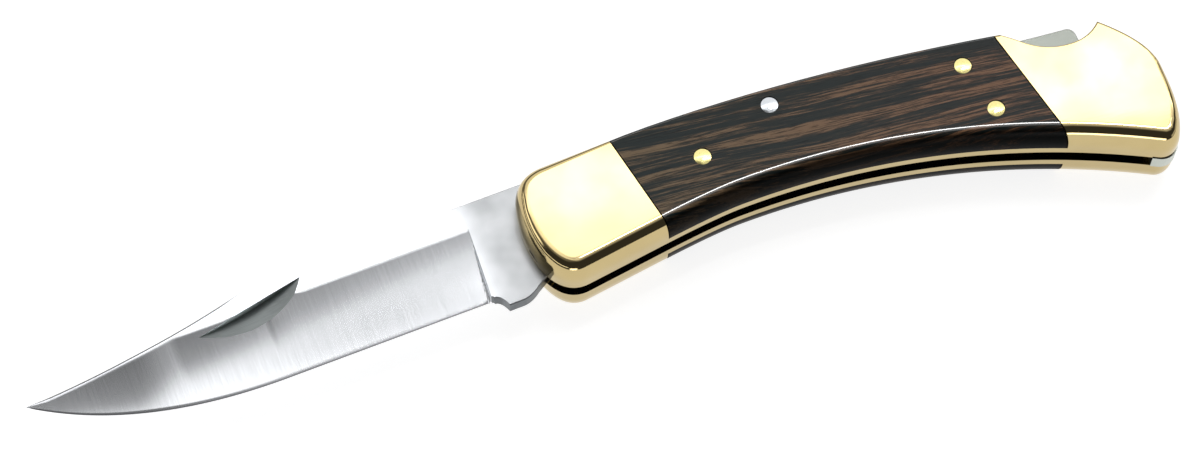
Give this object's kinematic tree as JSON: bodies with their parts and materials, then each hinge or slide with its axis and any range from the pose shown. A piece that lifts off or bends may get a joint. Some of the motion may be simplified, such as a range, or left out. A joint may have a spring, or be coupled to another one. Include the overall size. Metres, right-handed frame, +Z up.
{
  "type": "folding pocket knife",
  "caption": "Open lock-back folding hunting knife: hollow-ground clip-point blade with a nail nick, polished brass bolsters, striped dark wood scales and a rocking lock bar",
  "frame": {"origin": "on the blade's pivot axis, in the plane of the right-hand flats, which the knife rests on", "axes": "+X along the blade's spine from the tip to the butt, +Y towards the back of the handle, +Z up through the knife's thickness, so that its left side is on top"},
  "size_m": [0.2165, 0.0403, 0.017],
  "materials": {
    "blade_steel": "stainless steel, hollow ground and satin finished across the blade",
    "satin_steel": "satin stainless steel",
    "polished_brass": "mirror-polished yellow brass",
    "striped_wood": "dense dark wood with brown stripes along the handle, waxed and polished"
  },
  "bodies": {
    "handle": {"left_liner": "polished_brass", "right_liner": "polished_brass", "left_front_bolster": "polished_brass", "right_front_bolster": "polished_brass", "left_rear_bolster": "polished_brass", "right_rear_bolster": "polished_brass", "left_scale": "striped_wood", "right_scale": "striped_wood", "left_front_scale_pin": "polished_brass", "right_front_scale_pin": "polished_brass", "left_rear_upper_scale_pin": "polished_brass", "right_rear_upper_scale_pin": "polished_brass", "left_rear_lower_scale_pin": "polished_brass", "right_rear_lower_scale_pin": "polished_brass", "pivot_pin": "polished_brass", "pivot_bushing": "satin_steel", "lock_bar_pin": "satin_steel", "back_spacer": "satin_steel", "leaf_spring": "satin_steel", "spacer_pin_front": "polished_brass", "spacer_pin_rear": "polished_brass"},
    "blade": {"blade": "blade_steel"},
    "lock_bar": {"lock_bar": "satin_steel"}
  },
  "joints": [
    {"name": "blade_pivot", "type": "hinge", "parent": "handle", "child": "blade", "pos_m": [0, 0, 0.00852], "axis": [0, 0, 1], "range_deg": [0, 173]},
    {"name": "lock_bar_pivot", "type": "hinge", "parent": "handle", "child": "lock_bar", "pos_m": [0.03965, 0.00646, 0.00852], "axis": [0, 0, -1], "range_deg": [0, 2.5], "stiffness_Nm_per_rad": 5, "springref_deg": -8.59}
  ]
}
